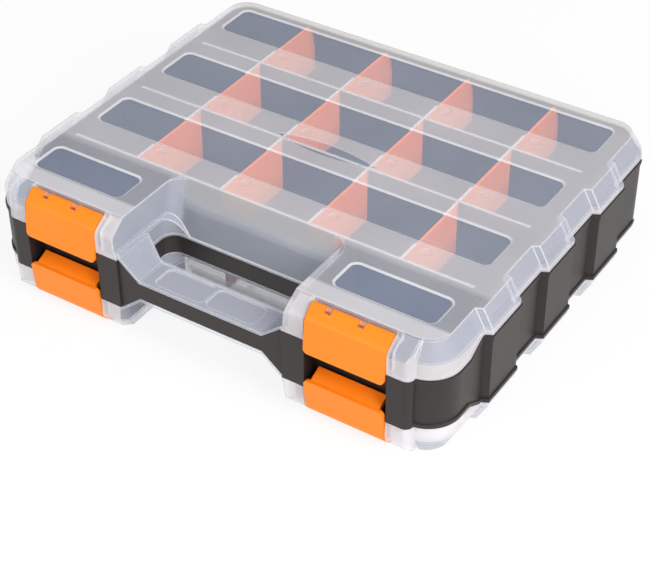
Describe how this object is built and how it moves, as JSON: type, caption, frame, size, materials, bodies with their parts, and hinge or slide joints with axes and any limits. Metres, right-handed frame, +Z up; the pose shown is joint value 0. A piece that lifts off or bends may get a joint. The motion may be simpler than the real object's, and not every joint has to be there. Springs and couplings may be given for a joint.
{
  "type": "double-sided organizer box",
  "caption": "Flat storage case with a carry handle: a dark tray with divided compartments above and below, each side closed by a hinged frosted lid with snap latches.",
  "frame": {"origin": "under the middle of the box, on the surface it stands on", "axes": "+X to the right seen from the handle side, +Y to the rear hinges, +Z up"},
  "size_m": [0.3236, 0.272, 0.08],
  "materials": {
    "dark_plastic": "satin moulded",
    "frosted_plastic": "frosted, see-through",
    "orange_plastic": "satin moulded",
    "steel": "drawn wire"
  },
  "bodies": {
    "tray": {"tray": "dark_plastic", "top_collar": "dark_plastic", "bottom_collar": "dark_plastic", "top_front_divider_1": "orange_plastic", "top_front_divider_2": "orange_plastic", "top_front_divider_3": "orange_plastic", "top_front_divider_4": "orange_plastic", "top_middle_divider_1": "orange_plastic", "top_middle_divider_2": "orange_plastic", "top_middle_divider_3": "orange_plastic", "top_middle_divider_4": "orange_plastic", "top_rear_divider_1": "orange_plastic", "top_rear_divider_2": "orange_plastic", "top_rear_divider_3": "orange_plastic", "top_rear_divider_4": "orange_plastic", "bottom_front_divider_1": "orange_plastic", "bottom_front_divider_2": "orange_plastic", "bottom_front_divider_3": "orange_plastic", "bottom_front_divider_4": "orange_plastic", "bottom_middle_divider_1": "orange_plastic", "bottom_middle_divider_2": "orange_plastic", "bottom_middle_divider_3": "orange_plastic", "bottom_middle_divider_4": "orange_plastic", "bottom_rear_divider_1": "orange_plastic", "bottom_rear_divider_2": "orange_plastic", "bottom_rear_divider_3": "orange_plastic", "bottom_rear_divider_4": "orange_plastic", "top_left_hinge_pin": "steel", "top_right_hinge_pin": "steel", "bottom_left_hinge_pin": "steel", "bottom_right_hinge_pin": "steel"},
    "top_lid": {"top_lid": "frosted_plastic"},
    "bottom_lid": {"bottom_lid": "frosted_plastic"},
    "top_left_latch": {"top_left_latch": "orange_plastic"},
    "top_right_latch": {"top_right_latch": "orange_plastic"},
    "bottom_left_latch": {"bottom_left_latch": "orange_plastic"},
    "bottom_right_latch": {"bottom_right_latch": "orange_plastic"}
  },
  "joints": [
    {"name": "top_lid_hinge", "type": "hinge", "parent": "tray", "child": "top_lid", "pos_m": [0, 0.13335, 0.064], "axis": [-1, 0, 0], "range_deg": [0, 120]},
    {"name": "bottom_lid_hinge", "type": "hinge", "parent": "tray", "child": "bottom_lid", "pos_m": [0, 0.13335, 0.016], "axis": [1, 0, 0], "range_deg": [0, 120]},
    {"name": "top_left_latch_pivot", "type": "hinge", "parent": "top_lid", "child": "top_left_latch", "pos_m": [-0.09865, -0.1255, 0.07712], "axis": [-1, 0, 0], "range_deg": [0, 100]},
    {"name": "top_right_latch_pivot", "type": "hinge", "parent": "top_lid", "child": "top_right_latch", "pos_m": [0.09865, -0.1255, 0.07712], "axis": [-1, 0, 0], "range_deg": [0, 100]},
    {"name": "bottom_left_latch_pivot", "type": "hinge", "parent": "bottom_lid", "child": "bottom_left_latch", "pos_m": [-0.09865, -0.1255, 0.00288], "axis": [1, 0, 0], "range_deg": [0, 100]},
    {"name": "bottom_right_latch_pivot", "type": "hinge", "parent": "bottom_lid", "child": "bottom_right_latch", "pos_m": [0.09865, -0.1255, 0.00288], "axis": [1, 0, 0], "range_deg": [0, 100]}
  ]
}
